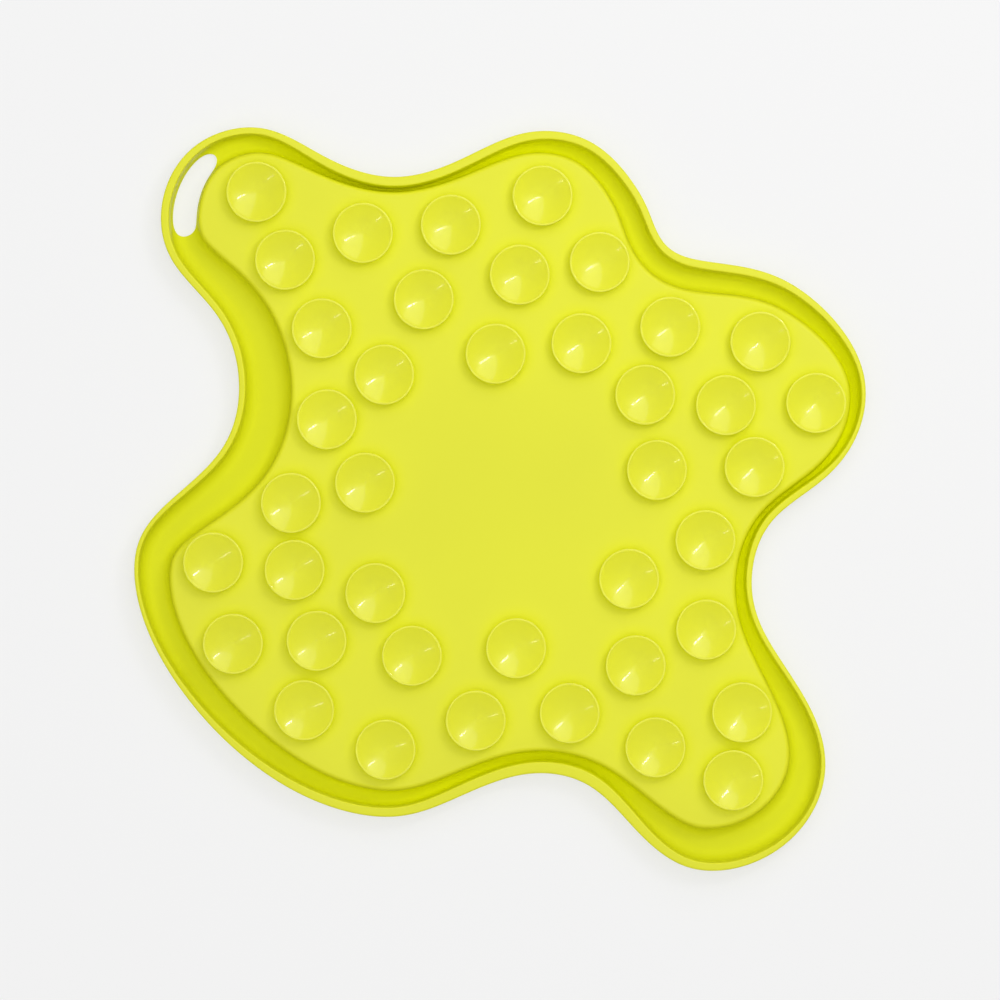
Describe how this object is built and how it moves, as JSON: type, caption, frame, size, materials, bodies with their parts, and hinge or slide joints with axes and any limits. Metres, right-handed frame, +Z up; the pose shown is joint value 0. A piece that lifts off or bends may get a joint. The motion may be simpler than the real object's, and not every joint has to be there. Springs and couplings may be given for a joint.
{
  "type": "lick mat",
  "caption": "Lobed silicone lick mat lying face down: a shallow lick tray below, a raised back with a field of suction cups above, a rim channel round it and a slot to hang it by.",
  "frame": {"origin": "middle of the mat's outline, at the height of the rim's resting face", "axes": "+Z up out of the back, where the suction cups point; +Y towards the top of the picture; +X to its right"},
  "size_m": [0.244, 0.248, 0.0142],
  "materials": {
    "silicone_body": "satin moulded silicone, lime yellow",
    "silicone_cups": "glossy moulded silicone, lime yellow, slightly see-through"
  },
  "bodies": {
    "mat": {"tray_floor": "silicone_body", "tray_wall": "silicone_body", "rim_channel": "silicone_body", "rim_skirt": "silicone_body", "rim_lip": "silicone_body", "nub_field": "silicone_body", "middle_patch": "silicone_body", "lobe_patch_1": "silicone_body", "lobe_patch_2": "silicone_body", "lobe_patch_3": "silicone_body", "lobe_patch_4": "silicone_body", "lobe_patch_5": "silicone_body", "lobe_patch_6": "silicone_body"},
    "cup_field": {"suction_cup_01": "silicone_cups", "suction_cup_02": "silicone_cups", "suction_cup_03": "silicone_cups", "suction_cup_04": "silicone_cups", "suction_cup_05": "silicone_cups", "suction_cup_06": "silicone_cups", "suction_cup_07": "silicone_cups", "suction_cup_08": "silicone_cups", "suction_cup_09": "silicone_cups", "suction_cup_10": "silicone_cups", "suction_cup_11": "silicone_cups", "suction_cup_12": "silicone_cups", "suction_cup_13": "silicone_cups", "suction_cup_14": "silicone_cups", "suction_cup_15": "silicone_cups", "suction_cup_16": "silicone_cups", "suction_cup_17": "silicone_cups", "suction_cup_18": "silicone_cups", "suction_cup_19": "silicone_cups", "suction_cup_20": "silicone_cups", "suction_cup_21": "silicone_cups", "suction_cup_22": "silicone_cups", "suction_cup_23": "silicone_cups", "suction_cup_24": "silicone_cups", "suction_cup_25": "silicone_cups", "suction_cup_26": "silicone_cups", "suction_cup_27": "silicone_cups", "suction_cup_28": "silicone_cups", "suction_cup_29": "silicone_cups", "suction_cup_30": "silicone_cups", "suction_cup_31": "silicone_cups", "suction_cup_32": "silicone_cups", "suction_cup_33": "silicone_cups", "suction_cup_34": "silicone_cups", "suction_cup_35": "silicone_cups", "suction_cup_36": "silicone_cups", "suction_cup_37": "silicone_cups", "suction_cup_38": "silicone_cups", "suction_cup_39": "silicone_cups", "suction_cup_40": "silicone_cups"}
  },
  "joints": [
    {"name": "cups_press", "type": "slide", "parent": "mat", "child": "cup_field", "axis": [0, 0, -1], "range_m": [0, 0.0024], "stiffness_N_per_m": 30000, "deforming": ["suction_cup_01", "suction_cup_02", "suction_cup_03", "suction_cup_04", "suction_cup_05", "suction_cup_06", "suction_cup_07", "suction_cup_08", "suction_cup_09", "suction_cup_10", "suction_cup_11", "suction_cup_12", "suction_cup_13", "suction_cup_14", "suction_cup_15", "suction_cup_16", "suction_cup_17", "suction_cup_18", "suction_cup_19", "suction_cup_20", "suction_cup_21", "suction_cup_22", "suction_cup_23", "suction_cup_24", "suction_cup_25", "suction_cup_26", "suction_cup_27", "suction_cup_28", "suction_cup_29", "suction_cup_30", "suction_cup_31", "suction_cup_32", "suction_cup_33", "suction_cup_34", "suction_cup_35", "suction_cup_36", "suction_cup_37", "suction_cup_38", "suction_cup_39", "suction_cup_40"]}
  ]
}
